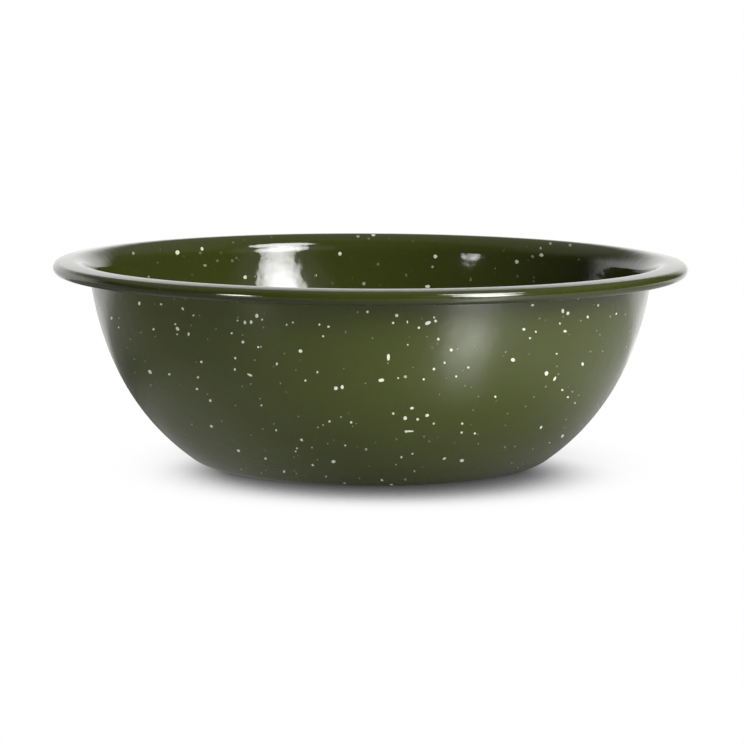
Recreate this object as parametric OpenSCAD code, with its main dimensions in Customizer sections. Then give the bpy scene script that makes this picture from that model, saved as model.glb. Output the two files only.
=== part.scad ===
// Enamelled steel basin bowl.
// A deep-drawn steel bowl with a dished base, a flared flange and a rolled edge,
// under a dark ground coat and a coloured cover coat of glass on each side.
// Every layer is revolved from the same outline, so each one lies on the next.
// Millimetres, +Z up, the origin on the bowl's axis at the plane that it stands on.

/* [Bowl] */
// Diameter over the rolled edge
rim_d = 180; // [165:1:220]
// Height from the standing plane to the crown of the rim
bowl_h = 57; // [45:0.5:80]
// Lean of the side from the vertical where it meets the flare
wall_lean = 8; // [4:0.5:20]
// Rise of the side above the horizontal where it leaves the foot
side_rise = 36; // [20:0.5:45]

/* [Foot] */
// Diameter of the flat ring that the bowl stands on
foot_d = 97.5; // [70:0.5:110]
// Width of that ring
foot_w = 9; // [4:0.5:16]
// Bend radius from the ring up into the side
foot_bend_r = 5; // [3:0.5:10]
// How far the base inside the ring is dished up
dish_h = 1; // [0.4:0.1:2]
// Bend radius of the step round the dished base
dish_bend_r = 4; // [2.5:0.5:8]

/* [Rim] */
// Bend radius under the flare
flare_r = 5; // [2.5:0.5:8]
// Width of the flange between the flare and the rolled edge
flange_w = 3.2; // [2.5:0.1:8]
// Slope of the flange, falling outwards from the crown to the rolled edge
flange_droop = 6; // [0:0.5:12]
// Diameter of the rolled edge
bead_d = 3.6; // [3.2:0.1:6]
// Gap left between the rolled edge's tip and the flange above it
throat_gap = 0.4; // [0.2:0.05:0.8]

/* [Sheet and enamel] */
// Thickness of the steel sheet
sheet_t = 0.6; // [0.4:0.05:0.8]
// Thickness of the ground coat on each side
ground_t = 0.1; // [0.08:0.01:0.15]
// Thickness of the cover coat on each side
cover_t = 0.15; // [0.1:0.01:0.25]

/* [Hidden] */
$fn = 180;

// Straight steps that stand for each bend and for the side's curve
dish_steps = 3;
foot_steps = 6;
side_steps = 18;
flare_steps = 8;
crown_steps = 2;
bead_steps = 18;

// Depth of each layer's face below the bowl's outer face, from the outside in
ground_outer = cover_t;
steel_outer = ground_outer + ground_t;
steel_inner = steel_outer + sheet_t;
ground_inner = steel_inner + ground_t;
wall_t = ground_inner + cover_t;

// The edge rolls until its tip comes within the throat gap of the flange
bead_r = bead_d / 2;
curl_r = bead_r - wall_t;
curl_turn = 360 - acos((curl_r - throat_gap) / bead_r);

// The dish's step is two equal and opposite bends
dish_turn = acos(1 - dish_h / (2 * dish_bend_r));
dish_edge_r = foot_d / 2 - foot_w - 2 * dish_bend_r * sin(dish_turn);

// The flare turns about this place, which leaves the rolled edge at the rim's diameter
flare_centre = [
    rim_d / 2 - bead_r + (curl_r - flare_r) * sin(flange_droop) - flange_w * cos(flange_droop),
    bowl_h - wall_t - flare_r
];

// Top of the side, where the flare begins
wall_rise = 90 - wall_lean;
wall_top = [
    flare_centre.x - flare_r * sin(wall_rise),
    flare_centre.y + flare_r * cos(wall_rise),
    wall_rise
];

// A place on the outline is [radius, height, rise], the rise in degrees going outwards.
function last(places) = places[len(places) - 1];
function heading(rise) = [cos(rise), sin(rise)];

// A straight run of a given length
function run(start, length) =
    [[start.x + length * cos(start.z), start.y + length * sin(start.z), start.z]];

// A bend to a new rise, upwards where the radius is positive and downwards where it is negative
function bend(start, radius, rise, steps) =
    let (centre = [start.x - radius * sin(start.z), start.y + radius * cos(start.z)])
    [for (i = [1 : steps])
        let (turn = start.z + (rise - start.z) * i / steps)
        [centre.x + radius * sin(turn), centre.y - radius * cos(turn), turn]];

// A smooth sweep between two places that leaves and arrives at their rises
function sweep(start, end, steps) =
    let (
        from = [start.x, start.y],
        to = [end.x, end.y],
        reach = cross(to - from, heading(end.z)) / cross(heading(start.z), heading(end.z)),
        corner = from + reach * heading(start.z)
    )
    [for (i = [1 : steps])
        let (
            t = i / steps,
            place = (1 - t) * (1 - t) * from + 2 * t * (1 - t) * corner + t * t * to,
            way = (1 - t) * (corner - from) + t * (to - corner)
        )
        [place.x, place.y, atan2(way.y, way.x)]];

// The bowl's outer face, from the middle of the base to the tip of the rolled edge
dish = [[0, dish_h, 0], [dish_edge_r, dish_h, 0]];
step_down = bend(last(dish), -dish_bend_r, -dish_turn, dish_steps);
step_out = bend(last(step_down), dish_bend_r, 0, dish_steps);
foot = run(last(step_out), foot_w);
foot_bend = bend(last(foot), foot_bend_r, side_rise, foot_steps);
side = sweep(last(foot_bend), wall_top, side_steps);
flare = bend(last(side), -flare_r, 0, flare_steps);
crown = bend(last(flare), -flare_r, -flange_droop, crown_steps);
flange = run(last(crown), flange_w);
curl = bend(last(flange), -curl_r, -flange_droop - curl_turn, bead_steps);

bowl_outline = concat(dish, step_down, step_out, foot, foot_bend, side, flare, crown, flange);
full_outline = concat(bowl_outline, curl);

// The outline moved towards the inside of the bowl
function sunk(outline, depth) =
    [for (p = outline) [p.x - depth * sin(p.z), p.y + depth * cos(p.z)]];

function reversed(places) = [for (i = [len(places) - 1 : -1 : 0]) places[i]];

// A revolved skin between two depths below the bowl's outer face
module layer(outline, outer, inner) {
    rotate_extrude()
        polygon(concat(sunk(outline, outer), reversed(sunk(outline, inner))));
}

// The pressed bowl: dished base, side, flare, flange and rolled edge in one sheet
module steel_shell() {
    color("lightslategray")
        layer(full_outline, steel_outer, steel_inner);
}

// The dark first firing inside the bowl, over the flange and round the rolled edge
module ground_coat_inside() {
    color("#20242c")
        layer(full_outline, steel_inner, ground_inner);
}

// The dark first firing under the base, up the side and under the flange
module ground_coat_outside() {
    color("#20242c")
        layer(bowl_outline, ground_outer, steel_outer);
}

// The olive glass inside the bowl, over the flange and round the rolled edge
module cover_coat_inside() {
    color("#464b26")
        layer(full_outline, ground_inner, wall_t);
}

// The olive glass under the base, up the side and under the flange
module cover_coat_outside() {
    color("#464b26")
        layer(bowl_outline, 0, ground_outer);
}

steel_shell();
ground_coat_inside();
ground_coat_outside();
cover_coat_inside();
cover_coat_outside();
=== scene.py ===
"""Looks of the enamelled basin bowl: olive glass inside and out, off-white spatter, and a white studio.

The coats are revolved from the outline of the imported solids, in metres, and stay inside their box.
Flecks that the photograph shows are placed by its pixels, and the rest are scattered from a fixed seed.
"""

import logging
import math
import random
from dataclasses import dataclass, field
from enum import Enum
from typing import NamedTuple

import bpy
import numpy as np
from mathutils import Matrix, Vector, noise
from mathutils.bvhtree import BVHTree


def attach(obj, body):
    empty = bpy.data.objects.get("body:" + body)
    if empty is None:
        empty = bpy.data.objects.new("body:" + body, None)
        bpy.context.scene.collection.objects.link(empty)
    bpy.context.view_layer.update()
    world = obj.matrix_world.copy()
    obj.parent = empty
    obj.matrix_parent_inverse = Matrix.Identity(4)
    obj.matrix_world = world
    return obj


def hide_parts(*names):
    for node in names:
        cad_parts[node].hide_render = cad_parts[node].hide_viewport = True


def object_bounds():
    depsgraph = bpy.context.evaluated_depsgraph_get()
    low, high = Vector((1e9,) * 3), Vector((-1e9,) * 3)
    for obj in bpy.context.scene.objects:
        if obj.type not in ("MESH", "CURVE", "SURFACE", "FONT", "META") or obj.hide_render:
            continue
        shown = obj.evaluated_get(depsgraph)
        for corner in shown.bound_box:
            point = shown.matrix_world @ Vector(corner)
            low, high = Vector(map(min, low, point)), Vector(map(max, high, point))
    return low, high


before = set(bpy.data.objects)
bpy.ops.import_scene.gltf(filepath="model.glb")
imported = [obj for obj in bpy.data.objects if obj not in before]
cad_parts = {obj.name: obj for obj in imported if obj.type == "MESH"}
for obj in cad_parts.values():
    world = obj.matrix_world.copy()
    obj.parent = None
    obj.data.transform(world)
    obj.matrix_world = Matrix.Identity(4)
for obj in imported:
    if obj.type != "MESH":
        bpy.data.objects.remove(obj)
CAD_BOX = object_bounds()

LOG = logging.getLogger("basin_bowl")
MM = 0.001

# Angle between two faces past which their edge is sharp
CREASE = math.radians(50)

# Radius under which a ring is a single point on the axis
AXIS_R = 1e-9

WHITE = (1.0, 1.0, 1.0, 1.0)

Colour = tuple[float, float, float, float]
Spot = tuple[float, float, float]

# A range, or the values where something has no effect and where it has all of it
Span = tuple[float, float]

Faces = list[tuple[int, ...]]
Inputs = dict[int | str, object]
Socket = bpy.types.NodeSocket


class Side(Enum):
    """The side of the sheet that a coat lies on."""

    INSIDE = "inside"
    OUTSIDE = "outside"


class Tone(Enum):
    """How much of a fleck's own colour shows through the olive glass."""

    BRIGHT = 1.0
    SOFT = 0.5
    DIM = 0.22
    FAINT = 0.09


class Place(NamedTuple):
    """A place on the outline: radius, height, and rise in radians going outwards."""

    r: float
    z: float
    rise: float


class Pick(NamedTuple):
    """A fleck in the photograph: its middle, width and height in pixels, and its lean in degrees."""

    x: float
    y: float
    wide: float
    high: float = 0.0
    lean: float = 0.0


class Cloud(NamedTuple):
    """A cloudy pattern: size of its clouds, finer layers, move, and the values that become 0 and 1."""

    size: float
    detail: float
    shift: float = 0.0
    low: float = 0.3
    high: float = 0.7


def by_side(inside: float, outside: float) -> dict[Side, float]:
    """Gives a dataclass field that holds a value for each coat."""
    return field(default_factory=lambda: {Side.INSIDE: inside, Side.OUTSIDE: outside})


def swing(angle: float) -> np.ndarray:
    """Gives the matrix that turns a plane by an angle."""
    return np.array(((math.cos(angle), -math.sin(angle)), (math.sin(angle), math.cos(angle))))


def hang(name: str, corners: list, faces: Faces) -> bpy.types.Object:
    """Makes a smooth piece of the cover enamel.

    Args:
        name: The piece's name.
        corners: Its points.
        faces: Its faces as point indices.

    Returns:
        The piece, on the root body.
    """
    mesh = bpy.data.meshes.new(name)
    mesh.from_pydata(corners, [], faces)
    mesh.shade_smooth()
    mesh.set_sharp_from_angle(angle=CREASE)
    piece = bpy.data.objects.new(name, mesh)
    bpy.context.scene.collection.objects.link(piece)
    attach(piece, "root")
    return piece


def report(piece: bpy.types.Object) -> None:
    """Logs a finished piece."""
    LOG.info("%s: %d faces", piece.name, len(piece.data.polygons))


@dataclass(frozen=True)
class PhotoCamera:
    """The photograph's camera, fitted to the bowl's outline.

    It stands at its distance along -Y from the bowl's axis, at its height above the plane that the bowl
    stands on. It looks down by its pitch and right by its yaw, and its roll lowers the picture's right
    side.
    """

    frame_px: float = 744.0
    focal_px: float = 2497.4
    distance: float = 0.70955
    height: float = 0.12268
    pitch: float = math.radians(7.911)
    yaw: float = math.radians(0.044)
    roll: float = math.radians(0.3)
    sensor_mm: float = 36.0
    clip: Span = (0.05, 60.0)

    @property
    def middle(self) -> float:
        """Pixel index of the picture's middle."""
        return (self.frame_px - 1) / 2

    def pose(self) -> Matrix:
        """Gives the camera's place and turn."""
        turn = Matrix.Rotation(-self.yaw, 4, "Z") @ Matrix.Rotation(math.pi / 2 - self.pitch, 4, "X")
        stand = Matrix.Translation((0, -self.distance, self.height))
        return stand @ turn @ Matrix.Rotation(self.roll, 4, "Z")

    def place(self) -> bpy.types.Object:
        """Makes the camera and gives it to the scene.

        Returns:
            The camera object.
        """
        data = bpy.data.cameras.new("photo_camera")
        data.sensor_fit = "HORIZONTAL"
        data.sensor_width = self.sensor_mm
        data.lens = self.focal_px / self.frame_px * self.sensor_mm
        data.clip_start, data.clip_end = self.clip
        camera = bpy.data.objects.new("photo_camera", data)
        camera.matrix_world = self.pose()
        bpy.context.scene.collection.objects.link(camera)
        bpy.context.scene.camera = camera
        return camera

    def ray(self, x: float, y: float) -> tuple[Vector, Vector]:
        """Gives the line of sight through a pixel.

        Args:
            x: Pixel column.
            y: Pixel row.

        Returns:
            The camera's place and the direction.
        """
        pose = self.pose()
        sight = Vector((x - self.middle, self.middle - y, -self.focal_px))
        return pose.translation, (pose.to_3x3() @ sight).normalized()

    def pixel(self, point: Vector) -> np.ndarray:
        """Gives the pixel that shows a point.

        Args:
            point: A point in the frame.

        Returns:
            Its column and row.
        """
        seen = self.pose().inverted() @ point
        scale = self.focal_px / -seen.z
        return np.array((self.middle + seen.x * scale, self.middle - seen.y * scale))


@dataclass(frozen=True)
class Outline:
    """The bowl's outer face as one line, from the middle of the base to the tip of the rolled edge.

    The sizes have the names and values of the part's source. Each _steps is the number of places along one
    stretch of the line, which is finer here than in the solids.
    """

    rim_d: float
    bowl_h: float
    wall_lean: float = math.radians(8)
    side_rise: float = math.radians(36)
    foot_d: float = 97.5 * MM
    foot_w: float = 9 * MM
    foot_bend_r: float = 5 * MM
    dish_h: float = 1 * MM
    dish_bend_r: float = 4 * MM
    flare_r: float = 5 * MM
    flange_w: float = 3.2 * MM
    flange_droop: float = math.radians(6)
    bead_d: float = 3.6 * MM
    throat_gap: float = 0.4 * MM
    sheet_t: float = 0.6 * MM
    ground_t: float = 0.1 * MM
    cover_t: float = 0.15 * MM
    dish_steps: int = 12
    dish_bend_steps: int = 6
    foot_steps: int = 5
    foot_bend_steps: int = 12
    side_steps: int = 60
    flare_steps: int = 26
    flange_steps: int = 8
    curl_steps: int = 60

    @property
    def wall_t(self) -> float:
        """Thickness of the whole wall."""
        return self.sheet_t + 2 * (self.ground_t + self.cover_t)

    @property
    def curl_r(self) -> float:
        """Radius of the hollow inside the rolled edge."""
        return self.bead_d / 2 - self.wall_t

    @staticmethod
    def run(start: Place, length: float, steps: int) -> list[Place]:
        """Gives the places along a straight run.

        Args:
            start: Where the run begins.
            length: Its length.
            steps: Number of places.

        Returns:
            The places after the start.
        """
        way = (math.cos(start.rise) * length / steps, math.sin(start.rise) * length / steps)
        return [Place(start.r + way[0] * i, start.z + way[1] * i, start.rise) for i in range(1, steps + 1)]

    @staticmethod
    def bend(start: Place, radius: float, rise: float, steps: int) -> list[Place]:
        """Gives the places along a bend.

        Args:
            start: Where the bend begins.
            radius: Its radius, negative where it turns downwards.
            rise: The rise that it ends at.
            steps: Number of places.

        Returns:
            The places after the start.
        """
        middle_r = start.r - radius * math.sin(start.rise)
        middle_z = start.z + radius * math.cos(start.rise)
        turns = [start.rise + (rise - start.rise) * i / steps for i in range(1, steps + 1)]
        return [Place(middle_r + radius * math.sin(t), middle_z - radius * math.cos(t), t) for t in turns]

    @staticmethod
    def sweep(start: Place, end: Place, steps: int) -> list[Place]:
        """Gives the places along a smooth curve that leaves and arrives at two rises.

        Args:
            start: Where the curve begins.
            end: Where it ends.
            steps: Number of places.

        Returns:
            The places after the start.
        """
        leave = np.array((math.cos(start.rise), math.sin(start.rise)))
        arrive = np.array((math.cos(end.rise), math.sin(end.rise)))
        first = np.array((start.r, start.z))
        last = np.array((end.r, end.z))
        span = last - first
        reach = (span[0] * arrive[1] - span[1] * arrive[0]) / (leave[0] * arrive[1] - leave[1] * arrive[0])
        corner = first + reach * leave
        places = []
        for i in range(1, steps + 1):
            t = i / steps
            spot = (1 - t) ** 2 * first + 2 * t * (1 - t) * corner + t * t * last
            way = (1 - t) * (corner - first) + t * (last - corner)
            places.append(Place(spot[0], spot[1], math.atan2(way[1], way[0])))
        return places

    def bowl(self) -> list[Place]:
        """Gives the outline from the middle of the base to the end of the flange.

        Returns:
            The places in order.
        """
        dish_turn = math.acos(1 - self.dish_h / (2 * self.dish_bend_r))
        dish_edge = self.foot_d / 2 - self.foot_w - 2 * self.dish_bend_r * math.sin(dish_turn)
        wall_rise = math.pi / 2 - self.wall_lean
        fall = math.sin(self.flange_droop)
        level = math.cos(self.flange_droop)
        flange_end = self.rim_d / 2 - self.bead_d / 2 + self.curl_r * fall
        centre_r = flange_end - self.flange_w * level - self.flare_r * fall
        centre_z = self.bowl_h - self.wall_t - self.flare_r
        wall_top = Place(
            centre_r - self.flare_r * math.sin(wall_rise),
            centre_z + self.flare_r * math.cos(wall_rise),
            wall_rise,
        )
        places = [Place(0.0, self.dish_h, 0.0)]
        places += self.run(places[-1], dish_edge, self.dish_steps)
        places += self.bend(places[-1], -self.dish_bend_r, -dish_turn, self.dish_bend_steps)
        places += self.bend(places[-1], self.dish_bend_r, 0.0, self.dish_bend_steps)
        places += self.run(places[-1], self.foot_w, self.foot_steps)
        places += self.bend(places[-1], self.foot_bend_r, self.side_rise, self.foot_bend_steps)
        places += self.sweep(places[-1], wall_top, self.side_steps)
        places += self.bend(places[-1], -self.flare_r, -self.flange_droop, self.flare_steps)
        places += self.run(places[-1], self.flange_w, self.flange_steps)
        return places

    def curl(self, start: Place) -> list[Place]:
        """Gives the rolled edge, which ends where its tip comes within the throat gap of the flange.

        Args:
            start: The end of the flange.

        Returns:
            The places after the start.
        """
        turn = 2 * math.pi - math.acos((self.curl_r - self.throat_gap) / (self.bead_d / 2))
        return self.bend(start, -self.curl_r, start.rise - turn, self.curl_steps)


@dataclass
class EnamelCoat:
    """One side's cover coat: a thin revolved skin of glass with a slightly uneven face.

    The face lies under the solid's by the headroom, so that flecks stay inside the solid's box. It has
    the pressed sheet's long waves, the glass's short ripples (each with its number to a metre and its
    pattern's move), and inside a pool of glass along the flange.

    Attributes:
        tries: Places along the face's line that a point is compared with.
        back_step: Places of the outline to each ring of the hidden face.
        places: The part of the outline that the coat covers.
        line: The visible face's line, in rows of radius, height and rise.
        reach: Distance along that line to each of its rows.
        flange_end: Distance along it to the end of the flange.
    """

    side: Side
    outline: Outline
    segments: int = 288
    headroom: float = 0.06 * MM
    wave: float = 0.022 * MM
    wave_freq: float = 42.0
    wave_shift: Spot = (3.1, 1.7, 8.2)
    ripple: float = 0.005 * MM
    ripple_freq: float = 150.0
    ripple_shift: Spot = (7.4, 2.9, 5.3)
    pool: float = 0.05 * MM
    pool_w: float = 3.8 * MM
    tries: int = 4000
    back_step: int = 3
    places: list[Place] = field(init=False)
    line: np.ndarray = field(init=False)
    reach: np.ndarray = field(init=False)
    flange_end: float = field(init=False)

    def __post_init__(self) -> None:
        """Works out the visible face's line and the distance along it."""
        bowl = self.outline.bowl()
        self.places = bowl + self.outline.curl(bowl[-1]) if self.side is Side.INSIDE else bowl
        self.line = self.sunk(self.face_depth)
        steps = np.hypot(np.diff(self.line[:, 0]), np.diff(self.line[:, 1]))
        self.reach = np.concatenate(([0.0], np.cumsum(steps)))
        self.flange_end = float(self.reach[len(bowl) - 1])

    @property
    def face_depth(self) -> float:
        """Depth of the visible face below the outline."""
        return self.outline.wall_t - self.headroom if self.side is Side.INSIDE else self.headroom

    @property
    def back_depth(self) -> float:
        """Depth of the face that lies on the ground coat."""
        cover_t = self.outline.cover_t
        return self.outline.wall_t - cover_t if self.side is Side.INSIDE else cover_t

    @property
    def facing(self) -> float:
        """Direction of the visible face, 1 towards the inside of the bowl and -1 away from it."""
        return 1.0 if self.side is Side.INSIDE else -1.0

    def sunk(self, depth: float) -> np.ndarray:
        """Gives the outline moved towards the inside of the bowl, in rows of radius, height and rise."""
        shift = [(-depth * math.sin(p.rise), depth * math.cos(p.rise), 0.0) for p in self.places]
        return np.array(self.places) + shift

    def unevenness(self, spot: Vector) -> float:
        """Gives how far the face lies above or below its line.

        Args:
            spot: A point on the line's revolved face.

        Returns:
            The height, in metres.
        """
        long_wave = noise.noise(spot * self.wave_freq + Vector(self.wave_shift))
        ripple = noise.noise(spot * self.ripple_freq + Vector(self.ripple_shift))
        return self.wave * long_wave + self.ripple * ripple

    def pooled(self, along: float) -> float:
        """Gives the height of the pooled glass at a distance along the face's line."""
        if self.side is Side.OUTSIDE:
            return 0.0
        off = (along - self.flange_end + self.outline.flange_w / 2) / (self.pool_w / 2)
        return self.pool * max(0.0, 1 - off * off)

    def point(self, along: float, turn: float, lift: float) -> Vector:
        """Gives a point on or near the visible face.

        Args:
            along: Distance along the face's line from the axis.
            turn: Angle round the axis from +X.
            lift: Height above the face.

        Returns:
            The point in the frame.
        """
        r, z, rise = (float(np.interp(along, self.reach, self.line[:, i])) for i in range(3))
        spot = Vector((r * math.cos(turn), r * math.sin(turn), z))
        out = Vector((-math.sin(rise) * math.cos(turn), -math.sin(rise) * math.sin(turn), math.cos(rise)))
        return spot + out * self.facing * (lift + self.unevenness(spot) + self.pooled(along))

    def radius(self, along: float) -> float:
        """Gives the radius at a distance along the face's line."""
        return float(np.interp(along, self.reach, self.line[:, 0]))

    def locate(self, hit: Vector) -> tuple[float, float]:
        """Finds where on the face a point lies.

        Args:
            hit: A point on the face.

        Returns:
            The distance along the line and the angle round the axis.
        """
        fine = np.linspace(0.0, self.reach[-1], self.tries)
        r = np.interp(fine, self.reach, self.line[:, 0])
        z = np.interp(fine, self.reach, self.line[:, 1])
        nearest = np.argmin((r - math.hypot(hit.x, hit.y)) ** 2 + (z - hit.z) ** 2)
        return float(fine[nearest]), math.atan2(hit.y, hit.x)

    def rows(self) -> list[np.ndarray]:
        """Gives the coat's rings of points, out along the visible face and back along the hidden one.

        Returns:
            One array of points for each ring, with a single point on the axis.
        """
        turns = np.arange(self.segments) * 2 * math.pi / self.segments
        rows = []
        for along in self.reach:
            ring = turns if along > 0 else turns[:1]
            rows.append(np.array([self.point(float(along), float(t), 0.0) for t in ring]))
        back = self.sunk(self.back_depth)[::-1]
        keep = sorted({0, len(back) - 1, *range(0, len(back), self.back_step)})
        for r, z, _ in back[keep]:
            ring = turns if r > AXIS_R else turns[:1]
            rows.append(np.column_stack((r * np.cos(ring), r * np.sin(ring), np.full(len(ring), z))))
        return rows

    def build(self) -> bpy.types.Object:
        """Makes the coat's closed mesh and puts it in place of its solid.

        Returns:
            The coat object.
        """
        rows = self.rows()
        ends = np.cumsum([len(row) for row in rows]).tolist()
        rings = [range(end - len(row), end) for row, end in zip(rows, ends)]
        faces = [face for pair in zip(rings, rings[1:]) for face in self.band(*pair)]
        if self.side is Side.OUTSIDE:
            faces = [face[::-1] for face in faces]
        piece = hang(f"enamel_{self.side.value}", np.concatenate(rows).tolist(), faces)
        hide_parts(f"cover_coat_{self.side.value}")
        return piece

    @staticmethod
    def band(first: range, second: range) -> Faces:
        """Gives the faces between two rings.

        Args:
            first: Indices of one ring's points, a single one on the axis.
            second: Indices of the next ring's points, a single one on the axis.

        Returns:
            The faces as point indices.
        """
        count = max(len(first), len(second))
        faces = []
        for j in range(count):
            k = (j + 1) % count
            a, d = (first[i % len(first)] for i in (j, k))
            b, c = (second[i % len(second)] for i in (j, k))
            faces.append(tuple(dict.fromkeys((a, b, c, d))))
        return faces


@dataclass
class Fleck:
    """A fleck on a coat: where it lies, its shape's two half axes along and round, and its tone."""

    along: float
    turn: float
    axes: np.ndarray
    tone: Tone


@dataclass
class Spatter:
    """The off-white flecks of both coats, picked from the photograph or scattered from a seed.

    Attributes:
        density: Scattered flecks to a square metre of each coat.
        clarity_and_shade: Share of a bright fleck's own colour that shows on each coat, lower inside as
            painted shade.
        veil: Power that weakens the dimmer flecks of each coat.
        sight: Distance from a point within which a line of sight has met it.
        probe: Step that tells how the photograph shows a coat.
        shrink: Share of a picked fleck's pixels that isn't the picture's blur.
        stretch: Most that a picked fleck's length may exceed its width.
        blot_mm, dot_mm: Half sizes of the large and the small scattered flecks, in millimetres.
        faint_size: Largest half size of those that the photograph would show.
        foot_clear: Height under which the foot has no flecks.
        throat_rise: Rise past which the rolled edge hides its own face.
        height, slope: Most that a fleck stands up, in all and as a share of its size.
        sink: Depth of a fleck's underside in its coat.
        lip: Share of its height at a fleck's edge.
        shoulder: Shares of its width and height at a fleck's shoulder.
        edge_waves, ragged: Waves round a fleck's edge, and what limits their heights.
        sides: Corners of a small and of a large fleck's edge.
    """

    camera: PhotoCamera
    coats: dict[Side, EnamelCoat]
    seed: int = 20
    density: dict[Side, float] = by_side(14000.0, 19000.0)
    # The inside's lower value is painted shade, like the inside's darker olive
    clarity_and_shade: dict[Side, float] = by_side(0.58, 1.0)
    veil: dict[Side, float] = by_side(1.3, 1.0)
    sight: float = 0.6 * MM
    probe: float = 0.05 * MM
    shrink: float = 0.83
    stretch: float = 2.2
    tone_weights: tuple[int, ...] = (52, 12, 24, 12)
    blot_share: float = 0.06
    blot_mm: Span = (0.55, 0.95)
    dot_mm: Span = (0.14, 0.6)
    dot_middle_mm: float = 0.27
    dot_spread: float = 0.35
    faint_size: float = 0.28 * MM
    round_share: float = 0.85
    round_aspect: Span = (1.0, 1.5)
    long_aspect: Span = (1.5, 2.6)
    foot_clear: float = 0.25 * MM
    throat_rise: float = -math.radians(215)
    height: float = 0.022 * MM
    slope: float = 0.06
    sink: float = 0.015 * MM
    lip: float = 0.2
    shoulder: Span = (0.72, 0.8)
    edge_tone: float = 0.85
    edge_waves: tuple[int, ...] = (2, 3, 4, 5)
    ragged: float = 0.16
    sides: tuple[int, int] = (10, 16)
    large: float = 0.5 * MM
    dice: random.Random = field(init=False)
    flecks: dict[Side, list[Fleck]] = field(init=False)
    trees: dict[Side, BVHTree] = field(init=False)

    def __post_init__(self) -> None:
        """Starts the random numbers and the lists of flecks."""
        self.dice = random.Random(self.seed)
        self.flecks = {side: [] for side in self.coats}
        self.trees = {}

    def watch(self, pieces: dict[Side, bpy.types.Object]) -> None:
        """Takes the coats' meshes, which the lines of sight meet."""
        for side, piece in pieces.items():
            corners = [v.co.copy() for v in piece.data.vertices]
            faces = [tuple(p.vertices) for p in piece.data.polygons]
            self.trees[side] = BVHTree.FromPolygons(corners, faces)

    def first_hit(self, origin: Vector, way: Vector) -> tuple[Side, Vector] | None:
        """Finds the coat that a line of sight meets first.

        Args:
            origin: Where the line starts.
            way: Its direction.

        Returns:
            The coat's side and the point, or None where it meets neither.
        """
        best = None
        nearest = math.inf
        for side, tree in self.trees.items():
            spot, _, _, distance = tree.ray_cast(origin, way)
            if spot is not None and distance < nearest:
                best = (side, spot)
                nearest = distance
        return best

    def seen(self, point: Vector) -> bool:
        """Tells whether the photograph shows a point of a coat."""
        origin = self.camera.pose().translation
        met = self.first_hit(origin, (point - origin).normalized())
        return met is not None and (met[1] - point).length < self.sight

    def pick(self, pick: Pick, tone: Tone) -> None:
        """Puts a picked fleck on the coat that its pixel shows.

        Args:
            pick: The fleck in the photograph.
            tone: How strongly it shows.
        """
        met = self.first_hit(*self.camera.ray(pick.x, pick.y))
        if met is None:
            LOG.warning("no coat at pixel %.1f, %.1f", pick.x, pick.y)
            return
        side, spot = met
        coat = self.coats[side]
        along, turn = coat.locate(spot)
        spin = self.probe / coat.radius(along)
        here = self.camera.pixel(coat.point(along, turn, 0.0))
        up = (self.camera.pixel(coat.point(along + self.probe, turn, 0.0)) - here) / self.probe
        aside = (self.camera.pixel(coat.point(along, turn + spin, 0.0)) - here) / self.probe
        half = np.array((pick.wide, pick.high or pick.wide)) / 2 * self.shrink
        shape = swing(math.radians(pick.lean)) * half
        left, sizes, right = np.linalg.svd(np.linalg.solve(np.column_stack((up, aside)), shape))
        own = max(half) / min(half)
        sizes[0] = min(sizes[0], sizes[1] * max(self.stretch, own))
        self.flecks[side].append(Fleck(along, turn, left @ np.diag(sizes) @ right, tone))

    def pick_all(self) -> None:
        """Puts every picked fleck on its coat."""
        for tone, picks in PICKS.items():
            for pick in picks:
                self.pick(Pick(*pick), tone)

    def scatter(self, side: Side) -> None:
        """Scatters flecks where the photograph doesn't show the coat, and only faint ones where it does.

        Args:
            side: The coat's side.
        """
        coat = self.coats[side]
        rim_r = coat.outline.rim_d / 2
        throat = self.throat(coat)
        for _ in range(round(self.density[side] * 2 * math.pi * rim_r * coat.reach[-1])):
            along = self.dice.uniform(0.0, coat.reach[-1])
            turn = self.dice.uniform(-math.pi, math.pi)
            chance = self.dice.random()
            size = self.size()
            aspects = self.round_aspect if self.dice.random() < self.round_share else self.long_aspect
            aspect = self.dice.uniform(*aspects)
            lean = self.dice.uniform(0.0, math.pi)
            tone = self.dice.choices(list(Tone), weights=self.tone_weights)[0]
            if chance > coat.radius(along) / rim_r or along > throat:
                continue
            spot = coat.point(along, turn, 0.0)
            if side is Side.OUTSIDE and spot.z < self.foot_clear:
                continue
            if self.seen(spot):
                if tone is not Tone.FAINT:
                    continue
                size = min(size, self.faint_size)
            root = math.sqrt(aspect)
            axes = swing(lean) @ np.diag((size * root, size / root))
            self.flecks[side].append(Fleck(along, turn, axes, tone))

    def throat(self, coat: EnamelCoat) -> float:
        """Gives the distance along a coat past which the rolled edge hides it."""
        if coat.side is Side.OUTSIDE:
            return float(coat.reach[-1]) - coat.outline.bead_d / 2
        return float(coat.reach[np.argmax(coat.line[:, 2] < self.throat_rise)])

    def size(self) -> float:
        """Draws a scattered fleck's half size."""
        if self.dice.random() < self.blot_share:
            return self.dice.uniform(*self.blot_mm) * MM
        least, most = self.dot_mm
        drawn = self.dice.lognormvariate(math.log(self.dot_middle_mm), self.dot_spread)
        return min(most, max(least, drawn)) * MM

    def build(self, side: Side) -> bpy.types.Object:
        """Makes one coat's flecks as low closed domes.

        Args:
            side: The coat's side.

        Returns:
            The flecks object.
        """
        corners: list[Vector] = []
        faces: Faces = []
        tones: list[float] = []
        for fleck in self.flecks[side]:
            self.dome(self.coats[side], fleck, corners, faces, tones)
        piece = hang(f"flecks_{side.value}", corners, faces)
        piece.data.attributes.new("tone", "FLOAT", "POINT").data.foreach_set("value", tones)
        return piece

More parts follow.
